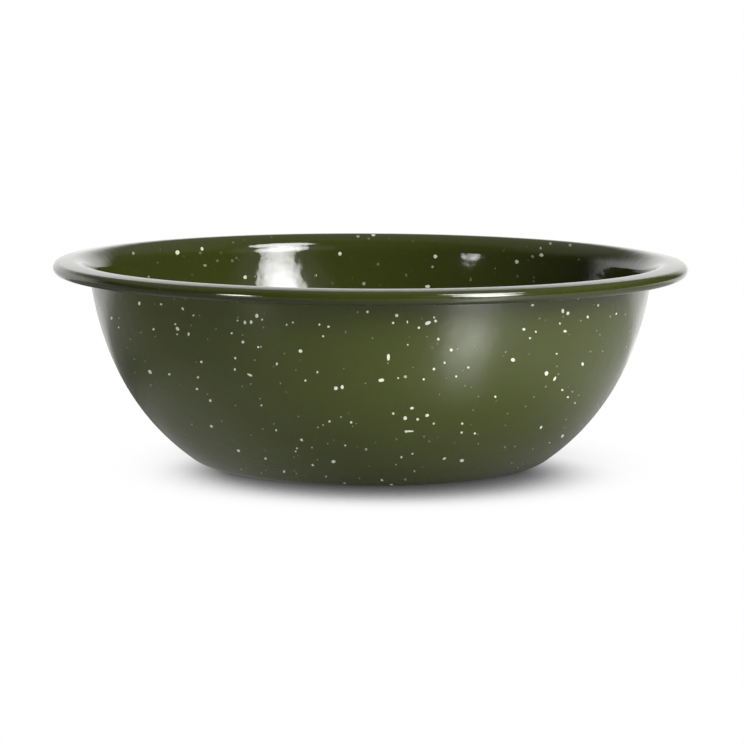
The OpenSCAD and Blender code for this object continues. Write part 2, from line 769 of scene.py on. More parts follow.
    def edge(self, coat: EnamelCoat, fleck: Fleck, count: int) -> list[np.ndarray]:
        """Gives a fleck's uneven edge.

        Args:
            coat: The coat that carries the fleck.
            fleck: The fleck.
            count: Number of its corners.

        Returns:
            Each corner's distance along and round the coat, in the order that turns the dome outwards.
        """
        waves = []
        for k in self.edge_waves:
            swell = self.dice.uniform(0.0, self.ragged / k)
            waves.append((k, swell, self.dice.uniform(0.0, 2 * math.pi)))
        edge = []
        for i in range(count):
            angle = 2 * math.pi * i / count
            reach = 1 + sum(swell * math.cos(k * angle + start) for k, swell, start in waves)
            edge.append(fleck.axes @ np.array((math.cos(angle), math.sin(angle))) * reach)
        mirrored = bool(np.linalg.det(fleck.axes) < 0)
        if mirrored is not (coat.side is Side.OUTSIDE):
            edge.reverse()
        return edge

    def dome(
        self, coat: EnamelCoat, fleck: Fleck, corners: list[Vector], faces: Faces, tones: list[float]
    ) -> None:
        """Adds one fleck's dome to a mesh.

        Args:
            coat: The coat that carries the fleck.
            fleck: The fleck.
            corners: The mesh's points, which grow.
            faces: The mesh's faces, which grow.
            tones: The tone at each point, which grows.
        """
        size = float(np.linalg.norm(fleck.axes))
        shown = self.clarity_and_shade[coat.side] * fleck.tone.value ** self.veil[coat.side]
        count = self.sides[0] if size < self.large else self.sides[1]
        top = min(self.height, self.slope * size)
        rings = (
            (1.0, -self.sink, self.edge_tone),
            (1.0, self.lip * top, self.edge_tone),
            (self.shoulder[0], self.shoulder[1] * top, 1.0),
        )
        edge = self.edge(coat, fleck, count)
        radius = coat.radius(fleck.along)
        first = len(corners)
        for share, lift, weight in rings:
            for along, aside in edge:
                turn = fleck.turn + share * aside / radius
                corners.append(coat.point(fleck.along + share * along, turn, lift))
                tones.append(shown * weight)
        under = len(corners)
        over = under + 1
        last = under - count
        corners.append(coat.point(fleck.along, fleck.turn, -self.sink))
        corners.append(coat.point(fleck.along, fleck.turn, top))
        tones += [shown * self.edge_tone, shown]
        for i in range(count):
            j = (i + 1) % count
            faces.append((under, first + j, first + i))
            for low in range(first, last, count):
                faces.append((low + i, low + j, low + count + j, low + count + i))
            faces.append((last + i, last + j, over))


class Nodes:
    """A node tree, with short calls for the nodes that the finishes and the lights use."""

    def __init__(self, tree: bpy.types.NodeTree) -> None:
        """Takes a node tree and empties it."""
        self.tree = tree
        self.tree.nodes.clear()

    def node(self, kind: str, inputs: Inputs | None = None, **settings: object) -> bpy.types.Node:
        """Adds a node.

        Args:
            kind: The node's type.
            inputs: Values of its sockets, or the sockets that feed them, by place or name.
            **settings: Its settings by name.

        Returns:
            The node.
        """
        made = self.tree.nodes.new(kind)
        for key, value in settings.items():
            setattr(made, key, value)
        for key, value in (inputs or {}).items():
            if isinstance(value, Socket):
                self.tree.links.new(value, made.inputs[key])
            else:
                made.inputs[key].default_value = value
        return made

    def maths(self, operation: str, first: object, second: object) -> Socket:
        """Works out one value from two."""
        return self.node("ShaderNodeMath", {0: first, 1: second}, operation=operation).outputs[0]

    def measure(self, operation: str, first: object, second: object) -> Socket:
        """Works out one value from two vectors."""
        made = self.node("ShaderNodeVectorMath", {0: first, 1: second}, operation=operation)
        return made.outputs["Value"]

    def axes(self, spot: Socket) -> list[Socket]:
        """Splits a vector into its X, Y and Z."""
        return list(self.node("ShaderNodeSeparateXYZ", {0: spot}).outputs)

    def vector(self, x: object, y: object, z: object) -> Socket:
        """Joins an X, a Y and a Z to a vector."""
        return self.node("ShaderNodeCombineXYZ", {0: x, 1: y, 2: z}).outputs[0]

    def total(self, start: object, *shares: tuple[Socket, float]) -> object:
        """Adds up weighted values.

        Args:
            start: The value that they are added to.
            *shares: Each value and its weight.

        Returns:
            The sum.
        """
        level = start
        for value, weight in shares:
            level = self.maths("ADD", self.maths("MULTIPLY", value, weight), level)
        return level

    def spread(self, value: Socket, low: float, high: float, to_low: float, to_high: float) -> Socket:
        """Maps the values from low to high to those from to_low to to_high, and holds them there."""
        inputs = {"Value": value, "From Min": low, "From Max": high, "To Min": to_low, "To Max": to_high}
        return self.node("ShaderNodeMapRange", inputs, clamp=True).outputs[0]

    def fade(self, value: Socket, span: Span) -> Socket:
        """Adds a smooth step.

        Args:
            value: The values.
            span: The values that become 0 and 1.

        Returns:
            The step.
        """
        step = self.spread(value, *span, 0.0, 1.0)
        step.node.interpolation_type = "SMOOTHSTEP"
        return step

    def apart(self, cast: Socket, seen: Socket) -> Socket:
        """Joins the shader that gives light and the one that the camera sees."""
        camera = self.node("ShaderNodeLightPath").outputs["Is Camera Ray"]
        return self.node("ShaderNodeMixShader", {0: camera, 1: cast, 2: seen}).outputs[0]


class Recipe(Nodes):
    """A material's node tree."""

    def __init__(self, name: str) -> None:
        """Makes an empty material.

        Args:
            name: The material's name.
        """
        self.material = bpy.data.materials.new(name)
        self.material.use_nodes = True
        super().__init__(self.material.node_tree)
        self.spot = self.node("ShaderNodeTexCoord").outputs["Object"]

    def noise(self, cloud: Cloud) -> Socket:
        """Adds a cloudy pattern, from 0 to 1."""
        inputs = {"Vector": self.spot, "W": cloud.shift, "Scale": 1 / cloud.size, "Detail": cloud.detail}
        return self.node("ShaderNodeTexNoise", inputs, noise_dimensions="4D").outputs[0]

    def cloudy(self, cloud: Cloud, to_low: float = 0.0, to_high: float = 1.0) -> Socket:
        """Adds a cloudy pattern between two values."""
        return self.spread(self.noise(cloud), cloud.low, cloud.high, to_low, to_high)

    def specks(self, size: float, share: float, core: float, chosen: Span) -> Socket:
        """Adds small round specks in some cells of a random lattice.

        Args:
            size: Size of a cell, in metres.
            share: Share of the cell's width that a speck fills.
            core: Share of the speck that is full.
            chosen: Values of a cell from which a speck begins to show and shows fully.

        Returns:
            The pattern, 1 in the specks.
        """
        made = self.node("ShaderNodeTexVoronoi", {"Vector": self.spot, "Scale": 1 / size})
        dot = self.spread(made.outputs["Distance"], share, share * core, 0.0, 1.0)
        shows = self.spread(made.outputs["Color"], *chosen, 0.0, 1.0)
        return self.maths("MULTIPLY", dot, shows)

    def mix(self, share: object, first: object, second: object) -> Socket:
        """Mixes a share of a second colour into a first, by the node's sockets for colours."""
        return self.node("ShaderNodeMix", {0: share, 6: first, 7: second}, data_type="RGBA").outputs[2]

    def bump(self, height: Socket, depth: float, under: Socket | None = None) -> Socket:
        """Adds a fine relief.

        Args:
            height: The relief's pattern, from 0 to 1.
            depth: Its depth, in metres.
            under: A coarser relief that it lies on.

        Returns:
            The surface's direction.
        """
        inputs = {"Strength": 1.0, "Distance": depth, "Height": height}
        if under is not None:
            inputs["Normal"] = under
        return self.node("ShaderNodeBump", inputs).outputs[0]

    def shader(self, **inputs: object) -> Socket:
        """Adds a surface shader, its inputs by name with _ for a space."""
        named = {name.replace("_", " "): value for name, value in inputs.items()}
        return self.node("ShaderNodeBsdfPrincipled", named).outputs[0]

    def finish(self, surface: Socket) -> bpy.types.Material:
        """Ends the recipe with its surface, and gives the material."""
        self.node("ShaderNodeOutputMaterial", {"Surface": surface})
        return self.material


@dataclass(frozen=True)
class OliveEnamel:
    """Glossy olive glass with faint mottling, a dust of fine specks and an orange-peel face.

    The glass is deeper in colour by its mottle and grain, dull where its flow was poor, and shaped by its
    peel and pits. Specks fill a share of some cells, and wear dulls the lowest part where it is scuffed.
    """

    name: str
    shine: Span
    olive: Colour
    deep: Colour
    scuffed: bool
    pale: Colour = (0.110, 0.118, 0.050, 1)
    scuff: Colour = (0.070, 0.074, 0.040, 1)
    index: float = 1.6
    mottle: Cloud = Cloud(38 * MM, 3.0, 0.0, 0.32, 0.68)
    mottle_share: float = 0.6
    grain: Cloud = Cloud(1.6 * MM, 3.0, 4.0, 0.35, 0.7)
    grain_share: float = 0.35
    flow: Cloud = Cloud(9 * MM, 4.0, 2.0)
    peel: Cloud = Cloud(3.4 * MM, 1.0, 1.0)
    peel_depth: float = 0.05 * MM
    pits: Cloud = Cloud(1.1 * MM, 1.0, 6.0)
    pit_share: float = 0.05
    speck_size: float = 1.5 * MM
    speck_share: float = 0.16
    speck_core: float = 0.4
    speck_chosen: Span = (0.62, 0.8)
    speck_show: float = 0.5
    wear: Cloud = Cloud(0.9 * MM, 5.0, 3.0, 0.42, 0.66)
    wear_range: Span = (0.15, 0.9)
    wear_height: Span = (0.32 * MM, 0.10 * MM)
    wear_rough: float = 0.4

    def make(self) -> bpy.types.Material:
        """Makes the material.

        Returns:
            The material.
        """
        recipe = Recipe(self.name)
        broad = recipe.cloudy(self.mottle, 0.0, self.mottle_share)
        fine = recipe.cloudy(self.grain, 0.0, self.grain_share)
        colour = recipe.mix(recipe.maths("ADD", broad, fine), self.olive, self.deep)
        specks = recipe.specks(self.speck_size, self.speck_share, self.speck_core, self.speck_chosen)
        colour = recipe.mix(recipe.maths("MULTIPLY", specks, self.speck_show), colour, self.pale)
        rough = recipe.cloudy(self.flow, *self.shine)
        peel = recipe.bump(recipe.noise(self.peel), self.peel_depth)
        relief = recipe.bump(recipe.noise(self.pits), self.peel_depth * self.pit_share, peel)
        if self.scuffed:
            low = recipe.spread(recipe.axes(recipe.spot)[2], *self.wear_height, 0.0, 1.0)
            worn = recipe.maths("MULTIPLY", low, recipe.cloudy(self.wear, *self.wear_range))
            colour = recipe.mix(worn, colour, self.scuff)
            rough = recipe.total(rough, (worn, self.wear_rough))
        return recipe.finish(
            recipe.shader(Base_Color=colour, Roughness=rough, IOR=self.index, Normal=relief)
        )


@dataclass(frozen=True)
class CloudedFinish:
    """A finish of two colours in clouds, dull where its flow was poor, with a fine relief if it has one.

    Attributes:
        under: Colour of a coat that shows through by the tone of each point, if any.
    """

    name: str
    first: Colour
    second: Colour
    cloud: Cloud
    flow: Cloud
    shine: Span
    relief: Cloud | None = None
    depth: float = 0.0
    index: float = 1.5
    metallic: float = 0.0
    under: Colour | None = None

    def make(self) -> bpy.types.Material:
        """Makes the material.

        Returns:
            The material.
        """
        recipe = Recipe(self.name)
        colour = recipe.mix(recipe.cloudy(self.cloud), self.first, self.second)
        if self.under is not None:
            tone = recipe.node("ShaderNodeAttribute", attribute_name="tone").outputs["Fac"]
            colour = recipe.mix(tone, self.under, colour)
        inputs = {"Roughness": recipe.cloudy(self.flow, *self.shine), "IOR": self.index}
        if self.relief is not None:
            inputs["Normal"] = recipe.bump(recipe.noise(self.relief), self.depth)
        return recipe.finish(recipe.shader(Base_Color=colour, Metallic=self.metallic, **inputs))


@dataclass(frozen=True)
class FleckEnamel(CloudedFinish):
    """Off-white glass of the flecks, thinning into the olive by their tone."""

    first: Colour = (0.95, 0.97, 0.80, 1)
    second: Colour = (0.85, 0.88, 0.69, 1)
    cloud: Cloud = Cloud(0.5 * MM, 2.0, 0.0, 0.35, 0.65)
    flow: Cloud = Cloud(0.8 * MM, 2.0, 5.0)
    shine: Span = (0.08, 0.2)


@dataclass(frozen=True)
class GroundEnamel(CloudedFinish):
    """Dark blue-black first coat, which shows only at the lip of the rolled edge."""

    name: str = "ground_enamel"
    first: Colour = (0.012, 0.013, 0.017, 1)
    second: Colour = (0.022, 0.026, 0.040, 1)
    cloud: Cloud = Cloud(2.5 * MM, 4.0, 0.0, 0.0, 1.0)
    flow: Cloud = Cloud(1.2 * MM, 3.0, 2.0)
    shine: Span = (0.2, 0.4)
    relief: Cloud = Cloud(0.7 * MM, 2.0, 1.0)
    depth: float = 0.01 * MM


@dataclass(frozen=True)
class SheetSteel(CloudedFinish):
    """Pickled cold-rolled sheet, which shows only in the throat of the rolled edge."""

    name: str = "sheet_steel"
    first: Colour = (0.44, 0.45, 0.47, 1)
    second: Colour = (0.25, 0.25, 0.26, 1)
    cloud: Cloud = Cloud(3 * MM, 5.0, 0.0, 0.35, 0.65)
    flow: Cloud = Cloud(0.6 * MM, 4.0, 2.0)
    shine: Span = (0.3, 0.55)
    relief: Cloud = Cloud(0.25 * MM, 3.0, 1.0)
    depth: float = 0.006 * MM
    metallic: float = 1.0


# The two cover coats' finishes: one olive glass, whose inside copy is painted darker than the outside one
# as painted shade
GLAZES = {
    Side.INSIDE: OliveEnamel(
        name="olive_enamel_inside",
        shine=(0.04, 0.08),
        olive=(0.034, 0.042, 0.006, 1),
        deep=(0.028, 0.035, 0.005, 1),
        scuffed=False,
    ),
    Side.OUTSIDE: OliveEnamel(
        name="olive_enamel_outside",
        shine=(0.14, 0.22),
        olive=(0.064, 0.079, 0.0114, 1),
        deep=(0.054, 0.067, 0.0095, 1),
        scuffed=True,
    ),
}


@dataclass(frozen=True)
class Softbox:
    """A soft lamp, placed by its direction from the bowl.

    Its azimuth to the right of the camera's side, its elevation, and half its width and height as the bowl
    sees it are in degrees. Its face is as bright as its radiance in the middle, and edge is the share of
    that at its rim.
    """

    name: str
    azimuth: float
    elevation: float
    half_wide: float
    half_high: float
    radiance: float
    edge: float = 0.45
    distance: float = 1.6

    def way(self) -> Vector:
        """Gives its direction from the bowl."""
        side = math.radians(self.azimuth)
        up = math.radians(self.elevation)
        return Vector((math.sin(side) * math.cos(up), -math.cos(side) * math.cos(up), math.sin(up)))

    def place(self, aim: Vector) -> bpy.types.Object:
        """Makes the lamp and turns it to the bowl.

        Args:
            aim: The point that it faces.

        Returns:
            The lamp object.
        """
        data = bpy.data.lights.new(self.name, "AREA")
        data.shape = "ELLIPSE"
        data.size = 2 * self.distance * math.tan(math.radians(self.half_wide))
        data.size_y = 2 * self.distance * math.tan(math.radians(self.half_high))
        # Power is pi times the radiance times the elliptical face's area
        data.energy = self.radiance * math.pi * math.pi / 4 * data.size * data.size_y
        data.use_nodes = True
        nodes = Nodes(data.node_tree)
        spot = nodes.node("ShaderNodeNewGeometry").outputs["Parametric"]
        # The face's own coordinates run from 0 to 1
        half = 0.5
        off = nodes.measure("DISTANCE", spot, (half, half, 0.0))
        face = nodes.node("ShaderNodeEmission", {"Strength": nodes.spread(off, half, 0.0, self.edge, 1.0)})
        nodes.node("ShaderNodeOutputLight", {"Surface": face.outputs[0]})
        lamp = bpy.data.objects.new(self.name, data)
        lamp.location = aim + self.way() * self.distance
        lamp.rotation_euler = self.way().to_track_quat("Z", "Y").to_euler()
        lamp.visible_camera = False
        bpy.context.scene.collection.objects.link(lamp)
        return lamp


@dataclass(frozen=True)
class Studio:
    """A dim room with a bright ceiling and backdrop behind the bowl, and three soft lamps.

    The lamps face the aim. The ceiling (sky), the backdrop and the halo round the first lamp add to the
    ambient brightness in some directions: by their Y and Z, their closeness to backdrop_way as a cosine,
    and their angle from the lamp in degrees.
    """

    aim: Vector
    ambient: float = 0.04
    sky: float = 0.18
    sky_y: Span = (-0.4, 0.1)
    sky_z: Span = (0.35, 0.6)
    backdrop: float = 1.1
    backdrop_way: Spot = (-0.3, 0.954, 0.0)
    backdrop_near: Span = (0.55, 0.80)
    backdrop_z: Span = (0.52, 0.18)
    halo: float = 0.4
    halo_off: Span = (28.0, 12.0)
    lamps: tuple[Softbox, ...] = (
        Softbox("right_softbox", 43.0, 27.5, 11.5, 20.5, 28.5, 0.20),
        Softbox("high_softbox", 54.0, 53.0, 11.0, 13.0, 17.0, 0.50),
        Softbox("left_softbox", -45.5, 5.0, 8.0, 8.5, 27.0, 0.15),
    )

    def light(self) -> None:
        """Places the lamps and lights the room."""
        for lamp in self.lamps:
            lamp.place(self.aim)
        world = bpy.data.worlds.new("white_studio")
        bpy.context.scene.world = world
        world.use_nodes = True
        nodes = Nodes(world.node_tree)
        way = nodes.node("ShaderNodeTexCoord").outputs["Generated"]
        _, y, z = nodes.axes(way)
        ceiling = nodes.maths("MULTIPLY", nodes.fade(y, self.sky_y), nodes.fade(z, self.sky_z))
        facing = nodes.measure("DOT_PRODUCT", way, self.backdrop_way)
        behind = nodes.maths(
            "MULTIPLY", nodes.fade(facing, self.backdrop_near), nodes.fade(z, self.backdrop_z)
        )
        outer, inner = (math.cos(math.radians(angle)) for angle in self.halo_off)
        near_lamp = nodes.measure("DOT_PRODUCT", way, self.lamps[0].way())
        round_lamp = nodes.fade(near_lamp, (outer, inner))
        level = nodes.total(
            self.ambient, (ceiling, self.sky), (behind, self.backdrop), (round_lamp, self.halo)
        )
        room = nodes.node("ShaderNodeBackground", {"Color": WHITE, "Strength": level})
        seen = nodes.node("ShaderNodeBackground", {"Color": WHITE})
        nodes.node("ShaderNodeOutputWorld", {"Surface": nodes.apart(room.outputs[0], seen.outputs[0])})


@dataclass(frozen=True)
class WhiteTable:
    """A white table that shows the camera a painted shadow of the bowl, and mirrors a lamp into the bowl's
    side.

    Each _off is a distance from its _at, or from the bowl's axis.

    Attributes:
        polish_at: Middle of the polished part, which mirrors the right lamp.
        glow: Painted light: an emission from the table left, right and behind the bowl, standing in for
            the rest of the studio's light.
        shadow_from: Direction of the openness that paints the shadow, above and behind the bowl.
        shadow_steps: Openness of a place in that direction, and how white the painted shadow then leaves
            it.
        shadow_flat: Length of the shadow's deep part over its width.
        shadow_aside: Share of the painted shadow that is left at the bowl's sides and back.
    """

    name: str = "white_table"
    diameter: float = 12.0
    sides: int = 96
    white: Colour = (0.30, 0.30, 0.295, 1)
    rough: float = 0.42
    index: float = 1.8
    gloss: float = 0.5
    gloss_off: Span = (0.075, 0.115)
    polish_at: Spot = (0.063, -0.124, 0.0)
    polish_off: Span = (0.062, 0.012)
    polish_rough: float = 0.1
    glow: Spot = (0.27, 0.30, 0.65)
    glow_at: Spot = (-0.055, -0.02, 0.0)
    glow_off: Span = (0.075, 0.02)
    glow_x: Span = (0.05, 0.11)
    glow_y: Span = (0.09, 0.16)
    shadow_reach: float = 0.042
    shadow_samples: int = 24
    shadow_from: Spot = (-0.12, 0.42, 0.90)
    shadow_steps: tuple[Span, ...] = (
        (0.05, 0.05), (0.11, 0.095), (0.20, 0.17), (0.25, 0.28), (0.31, 0.43), (0.36, 0.57), (0.40, 0.69),
        (0.44, 0.78), (0.50, 0.89), (0.56, 0.96), (0.66, 1.0),
    )
    shadow_at: Spot = (0.002, -0.035, 0.0)
    shadow_flat: float = 0.72
    shadow_off: Span = (0.052, 0.028)
    shadow_aside: float = 0.22

    def build(self) -> bpy.types.Object:
        """Makes the table.

        Returns:
            The table object.
        """
        radius = self.diameter / 2
        turns = [2 * math.pi * i / self.sides for i in range(self.sides)]
        corners = [(radius * math.cos(t), radius * math.sin(t), 0.0) for t in turns]
        mesh = bpy.data.meshes.new(self.name)
        mesh.from_pydata(corners, [], [range(self.sides)])
        mesh.materials.append(self.top())
        table = bpy.data.objects.new(self.name, mesh)
        bpy.context.scene.collection.objects.link(table)
        return table

    def top(self) -> bpy.types.Material:
        """Makes the material: white to the camera, with a painted shadow where the bowl stands over it.

        Returns:
            The material.
        """
        recipe = Recipe(self.name)
        x, y, _ = recipe.axes(recipe.spot)
        off_axis = recipe.measure("DISTANCE", recipe.spot, (0.0, 0.0, 0.0))
        off_polish = recipe.measure("DISTANCE", recipe.spot, self.polish_at)
        off_glow = recipe.measure("DISTANCE", recipe.spot, self.glow_at)
        left, right, behind = self.glow
        # Painted light: the table glows, though it is no lamp, to light the bowl from its left, right and
        # back
        glow = recipe.total(
            0.0,
            (recipe.fade(off_glow, self.glow_off), left),
            (recipe.fade(x, self.glow_x), right),
            (recipe.fade(y, self.glow_y), behind),
        )
        lit = recipe.shader(
            Base_Color=self.white,
            Roughness=self.rough,
            IOR=self.index,
            Specular_IOR_Level=recipe.maths("MULTIPLY", recipe.fade(off_axis, self.gloss_off), self.gloss),
            Coat_Weight=recipe.fade(off_polish, self.polish_off),
            Coat_Roughness=self.polish_rough,
            Coat_IOR=self.index,
            Emission_Color=WHITE,
            Emission_Strength=glow,
        )
        # The camera sees an emission whose colour carries the painted shadow
        seen = recipe.node("ShaderNodeEmission", {"Color": self.shade(recipe, x, y)})
        return recipe.finish(recipe.apart(lit, seen.outputs[0]))

    def shade(self, recipe: Recipe, x: Socket, y: Socket) -> Socket:
        """Gives the white that the camera sees, with a painted shadow of the bowl.

        Args:
            recipe: The table's material.
            x: X of a place on the table.
            y: Y of that place.

        Returns:
            The colour.
        """
        # Painted shadow: the table is darker where little of the direction shadow_from is open to it
        inputs = {"Distance": self.shadow_reach, "Normal": recipe.vector(*self.shadow_from)}
        openness = recipe.node("ShaderNodeAmbientOcclusion", inputs, samples=self.shadow_samples)
        ramp = recipe.node("ShaderNodeValToRGB", {0: openness.outputs["AO"]})
        steps = ramp.color_ramp.elements
        ready = len(steps)
        for i, (place, level) in enumerate(self.shadow_steps):
            step = steps[i] if i < ready else steps.new(place)
            step.position = place
            step.color = (level, level, level, 1)
        # Painted shadow pool: deepest in an ellipse round shadow_at in front of the bowl, weaker at its
        # sides and back
        flat = recipe.vector(recipe.maths("MULTIPLY", x, self.shadow_flat), y, 0.0)
        ahead = recipe.fade(recipe.measure("DISTANCE", flat, self.shadow_at), self.shadow_off)
        depth = recipe.total(self.shadow_aside, (ahead, 1.0 - self.shadow_aside))
        return recipe.mix(depth, WHITE, ramp.outputs[0])
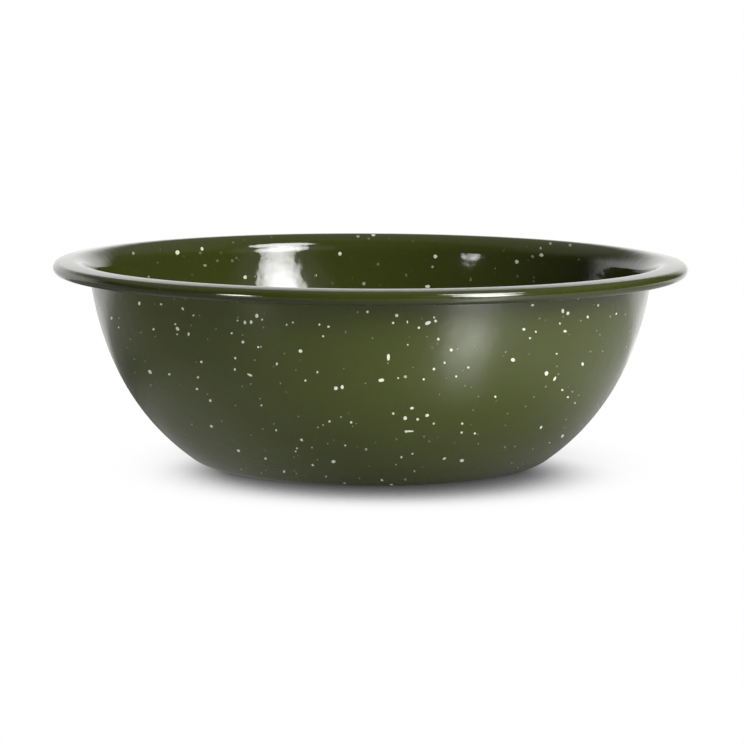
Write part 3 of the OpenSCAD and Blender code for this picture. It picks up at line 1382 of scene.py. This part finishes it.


# Flecks that the photograph shows, one by one: middle, width, and height and lean where they differ
PICKS: dict[Tone, tuple[tuple[float, ...], ...]] = {
    Tone.BRIGHT: (
        # Left of the wall
        (138.8, 302.9, 3, 4.5), (160.6, 303.7, 2.7), (182.2, 308.2, 4, 2.5, 60), (192.9, 314.9, 2.2),
        (111, 317.6, 2, 4), (118.2, 326.9, 2.4), (174.8, 323.6, 2.5), (177, 328.3, 5.6, 3.4, 55),
        (176.7, 333.8, 2), (188.1, 333.7, 2.6, 4), (153, 328.7, 2.4, 3), (149.4, 371.4, 5.4, 3.6, 55),
        (168.8, 373.8, 2.8), (200.8, 361.3, 3), (197.5, 376.8, 2.8), (196.4, 388.5, 3),
        (209.8, 400.1, 3, 3.6), (260.9, 404.8, 2.2), (210.9, 425.8, 4, 2.6, 35), (275.6, 429.7, 2.4),
        (238, 450.3, 4.4, 2.8, 30), (265.1, 458.1, 2.8), (283.5, 471.1, 3, 3.2),
        # Left of the middle
        (256.3, 315.4, 4, 5), (250.6, 321.7, 3, 5), (244.4, 322, 3.2, 4.6), (237.1, 320.1, 2),
        (261.6, 319.2, 2.2), (231.2, 332.7, 2.4), (242.4, 341.6, 3.4), (257.7, 346.6, 2.6),
        (260.5, 346.3, 1.2, 2.4), (234.7, 357.6, 2.6, 3), (234.3, 369, 2, 3.6), (249.3, 374.5, 6, 2.8, 25),
        (276.3, 363.4, 2.2, 3.6), (300, 350.6, 4.6, 4), (286.1, 324.2, 2, 2.8), (292.3, 322, 2),
        (318.9, 324, 2.6), (328, 326.2, 3), (322.6, 335.8, 2.6), (367, 311.4, 2.8, 3.4),
        (316.9, 371.7, 2, 3.2), (304.9, 380.1, 2.6), (335.3, 387.8, 4.6), (341.7, 386.6, 3.8, 5),
        (329, 420.9, 2.8), (350.7, 421.8, 3, 2.8), (301.1, 439.4, 3.8, 2.8, 30), (296.5, 447.8, 2.2),
        (295.2, 450.9, 2.2), (344.7, 444.9, 2.2), (312.2, 464.6, 3, 2.6), (332.9, 461.1, 5, 3.8),
        # Right of the middle
        (396.2, 315, 4), (392.6, 322.4, 3), (406.8, 321.4, 1.5, 4), (427.4, 322.5, 8, 4, -20),
        (435.1, 320.5, 3.4), (433.7, 317, 2.6), (418.4, 327.2, 3), (437.8, 338.7, 3, 3.4),
        (407.2, 344.2, 2), (387.9, 356.7, 3.6, 9), (380.8, 379.8, 7, 4.2), (397.7, 377.6, 2),
        (423.2, 378.8, 2.6), (433.4, 368.6, 3.2), (444.1, 362.2, 2.8), (450.7, 349.5, 3.6),
        (467.8, 367, 3.2, 2.6), (455.7, 375.9, 2.6), (494.8, 396.2, 2.8), (512.5, 359.4, 5, 4.4),
        (523.4, 328.8, 3.4), (529.4, 337.7, 2.4), (381.4, 479.6, 3.6, 2.4, 20), (390.8, 484.4, 3.8, 2.2),
        (400.9, 456.7, 2.6), (411.9, 453.3, 2.2), (409, 430.8, 11, 2.2), (405.6, 431, 3.6, 3),
        (404.7, 417.7, 4.4, 5), (411.4, 407.7, 4.6, 3, -10), (392.7, 413.1, 3, 2.8), (417.1, 418.8, 3.2),
        (426.6, 415, 4.6, 3.6, -40), (433.2, 423.1, 2.6), (443.9, 458, 4.4, 2.4, -35), (461.7, 423.1, 2.8),
        (461.1, 432.1, 2.6), (474.4, 433, 2.8), (461.5, 460, 5.2, 3.6, -20),
        # Right of the wall
        (532.1, 304.7, 3.6, 3), (562.3, 310.5, 3.2, 5.4), (567.4, 312.8, 3.4, 4.4), (559.4, 323, 2, 2.8),
        (564.6, 330.8, 4, 3), (535.3, 331.3, 2, 2.8), (587.2, 316.5, 2.6, 3.6), (597.7, 304.8, 2.4, 3.2),
        (615.8, 313.2, 2.8, 2.4), (556.2, 353.3, 2.2), (546, 372.9, 4.4, 5.4), (554.2, 378.3, 6, 2.6, -60),
        (582.1, 363.6, 3, 4), (561.8, 389.4, 2.6), (567.4, 396.7, 2.4), (540.5, 426.9, 4.4, 2.2, -55),
        (562, 435.6, 4.8, 3, -50),
        # Inside
        (177, 251.9, 5, 5.4), (201.6, 248.3, 3.6, 4.4), (244.7, 276.8, 4, 4.4), (339.5, 253.2, 4, 4.6),
        (372.8, 234.5, 5, 2.6), (434.9, 255.9, 4.6), (427.1, 286, 6, 4), (516.3, 261.3, 4.4, 4.8),
        (540.9, 254.6, 4.8, 4.2),
    ),
    Tone.SOFT: (
        (404.8, 376.2, 4, 3.6), (240.9, 468.8, 2), (260.9, 472.4, 2), (322.6, 424.5, 2), (317.4, 426.9, 2),
        (340.4, 416.4, 2), (311.4, 447.1, 2.2), (365.6, 448.9, 3), (325.5, 476, 2.6), (344, 482.8, 4, 2.4),
        (404.7, 479.1, 2.6), (395.5, 464.1, 1.8), (413.9, 470.8, 2.2, 2.6), (574.4, 402.5, 2.2, 2.8),
        (549, 442.4, 2.4), (132.8, 252.7, 3.2, 4), (204.5, 264.9, 4, 3.2), (363.3, 283.1, 4, 4.4),
        (357.4, 235.8, 4, 3), (432, 266.3, 3.2), (532, 256, 3.8), (540.1, 247.7, 3, 3.4),
        (549.8, 242.9, 3.4), (569.6, 244.5, 4, 3.6), (148.3, 276.2, 2.5),
    ),
    Tone.DIM: (
        # Left of the wall
        (199, 315, 1.8), (118.7, 317.7, 2, 3), (99.6, 309.2, 3, 5), (140.5, 331.9, 2), (129.9, 338.7, 2),
        (127.1, 347.1, 2), (133.9, 358.7, 2), (120.8, 359.5, 2.2), (134.4, 372, 2),
        (150.3, 384.7, 2.4, 3.2), (195.7, 361.6, 1.5), (207.2, 338.7, 1.5), (154.9, 335.8, 1.8),
        (190.7, 324.7, 1.6), (144.7, 360.7, 1.5), (207, 393.8, 2), (234.9, 405, 2), (191.3, 424.2, 2.2),
        (221.2, 420.7, 1.6, 2.6), (262.3, 428.5, 2.4, 1.8), (273.4, 423.4, 2), (250.4, 434.6, 2),
        (185.4, 433.7, 1.8), (190.5, 443.5, 1.8), (245.8, 467.3, 1.8), (266, 469.8, 1.8),
        (151.4, 413.1, 1.6), (162.8, 428.9, 1.6), (171, 436.4, 1.6), (146.6, 406.6, 1.6),
        # Left of the middle
        (237.5, 317, 2), (262.9, 327.1, 2), (263.6, 313.2, 1.3), (242.1, 334.5, 2), (254.3, 359.6, 2.2),
        (345.1, 331.4, 1.8, 3), (357.1, 311.6, 2, 2.6), (295.4, 369.5, 1.6), (365, 382.9, 2),
        (250.1, 383.5, 2.2), (241.8, 385.9, 2), (280, 382.8, 2.2), (215.5, 328.5, 1.8),
        (259.4, 398.2, 2.6, 1.6), (284, 353.1, 2), (343.3, 368.2, 1.5), (297.9, 415.9, 2),
        (355.6, 423.1, 1.6), (352.1, 425.8, 1.8), (327.2, 443.2, 2), (293.6, 456.7, 2), (316.9, 459.2, 2),
        (293.9, 470.3, 1.8), (295.9, 473.1, 2.6, 3), (359.1, 477.9, 2),
        # Right of the middle
        (426.5, 336.1, 1.8), (408.8, 336.4, 1.2), (371.9, 337.7, 2), (387.5, 362.7, 1.8, 2.4),
        (457, 348.5, 2.4), (473.9, 335.9, 2.2), (474, 346, 2), (462.5, 369.7, 1.5), (464.6, 385.3, 2),
        (471.1, 386.7, 1.6), (478, 396, 2), (505.1, 351.6, 2.4), (412.4, 366.9, 1.6), (439.1, 393.9, 1.8),
        (431.6, 347.4, 1.2), (436.8, 343.4, 1.3), (445.9, 377.8, 1.6), (396, 438.8, 2.4),
        (423.6, 436.1, 2.4), (428.7, 441, 2.2), (472.7, 409.6, 1.8), (507.2, 413.1, 2),
        (477.5, 433.8, 1.8), (477.7, 443.3, 2), (504.8, 424.8, 1.6),
        # Right of the wall
        (562.7, 316.2, 2), (539.1, 317.9, 2.4), (609.8, 316, 2, 3), (624.7, 313.9, 1.8), (629.1, 331.2, 2),
        (556.6, 365.8, 2), (557.9, 373.7, 2.2), (590, 351.1, 2.2), (602.1, 350.7, 2), (599.4, 334.3, 1.8),
        (596.2, 330.1, 1.6), (545.2, 386.2, 2.4), (571.9, 391.2, 2.4), (578.2, 394.9, 2.4),
        (580.3, 320.2, 2.4), (568.7, 334, 1.3), (625.7, 346.6, 2), (629.1, 335.6, 1.4),
        (593.4, 304.3, 1.8), (533.4, 396.5, 2), (525.1, 405.9, 2), (565.8, 418.8, 2), (564.1, 427.2, 2),
        (580.6, 425.1, 1.8, 3), (597.2, 405, 2.6), (514.3, 445.9, 2.6, 1.8), (504.5, 446.7, 2.4),
        (532.2, 448.4, 2.4), (535.6, 447.8, 1.4), (511, 462.3, 2.6, 2), (522.1, 464.1, 2),
        (517.5, 467, 2.4),
        # Rolled edge
        (237.2, 301.7, 3, 1), (173.8, 298.8, 1.8), (578.1, 297.5, 3, 1.5), (270.9, 236.5, 3, 1.2),
        # Inside
        (199.8, 252.4, 3.6), (216.8, 260.2, 3.6), (231.8, 260.3, 3.6), (236.1, 257.5, 2.6),
        (232.6, 241.8, 2.6), (377.5, 263.8, 3.2, 4.4), (315, 275.4, 3.6), (405.7, 274.8, 2.6, 4),
        (368.3, 238.1, 3), (470.1, 278.6, 2.4, 4), (516.9, 275.7, 3.2), (533.1, 276.8, 2.6),
        (533.1, 280.9, 3), (578.1, 259.1, 3),
    ),
    Tone.FAINT: (
        (234.1, 439.5, 2), (264.2, 449.8, 2.4), (227.9, 464.4, 2), (242.5, 461.9, 2), (299, 457.4, 1.8),
        (437.2, 437, 2), (422, 466.6, 2), (368.7, 465.5, 2), (357, 446.2, 2), (375.2, 441.9, 2.2),
        (348.1, 412.9, 2), (454.1, 442.4, 2.4), (584.2, 412.6, 2), (157.2, 261.9, 3), (220.6, 252.1, 3.6),
        (243.7, 239.4, 2.4), (183.3, 255.6, 2.6), (159.7, 249.1, 2.6), (191.7, 274.1, 3),
        (255, 276.2, 2.4), (331.6, 282.7, 3.6), (388.5, 237.8, 2.6), (351.7, 277.3, 2.4), (412.5, 241, 3),
        (527.7, 259.7, 3), (503, 250.4, 3), (494.3, 267.6, 2.4), (525.8, 245.9, 2.4),
    ),
}


@dataclass
class BasinBowl:
    """The dressed bowl: its two cover coats, their flecks, and the solids that they lie on.

    Attributes:
        outline: The bowl's outer face.
        camera: The photograph's camera.
    """

    outline: Outline
    camera: PhotoCamera

    def build(self) -> None:
        """Builds and dresses every piece."""
        coats = {side: EnamelCoat(side, self.outline) for side in Side}
        pieces = {side: coat.build() for side, coat in coats.items()}
        for side, piece in pieces.items():
            piece.data.materials.append(GLAZES[side].make())
            report(piece)
        spatter = Spatter(self.camera, coats)
        spatter.watch(pieces)
        spatter.pick_all()
        for side in Side:
            spatter.scatter(side)
            flecks = spatter.build(side)
            # Each coat's flecks fade into that coat's olive, the inside's darker as painted shade
            finish = FleckEnamel(f"fleck_enamel_{side.value}", under=GLAZES[side].olive)
            flecks.data.materials.append(finish.make())
            report(flecks)
        self.dress_solids()

    def dress_solids(self) -> None:
        """Gives the steel and the ground coats their finishes."""
        ground = GroundEnamel().make()
        finishes = {
            "steel_shell": SheetSteel().make(),
            "ground_coat_inside": ground,
            "ground_coat_outside": ground,
        }
        for name, finish in finishes.items():
            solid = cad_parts[name]
            for slot in solid.material_slots:
                slot.material = finish
            report(solid)


def main() -> None:
    """Builds the camera, the bowl and the studio."""
    logging.basicConfig(level=logging.INFO, format="%(name)s: %(message)s")
    bpy.context.scene.view_settings.view_transform = "Standard"
    low, high = CAD_BOX
    camera = PhotoCamera()
    camera.place()
    BasinBowl(Outline(rim_d=high.x - low.x, bowl_h=high.z), camera).build()
    Studio(aim=Vector((0, 0, high.z / 2))).light()
    report(WhiteTable().build())


if __name__ == "__main__":
    main()
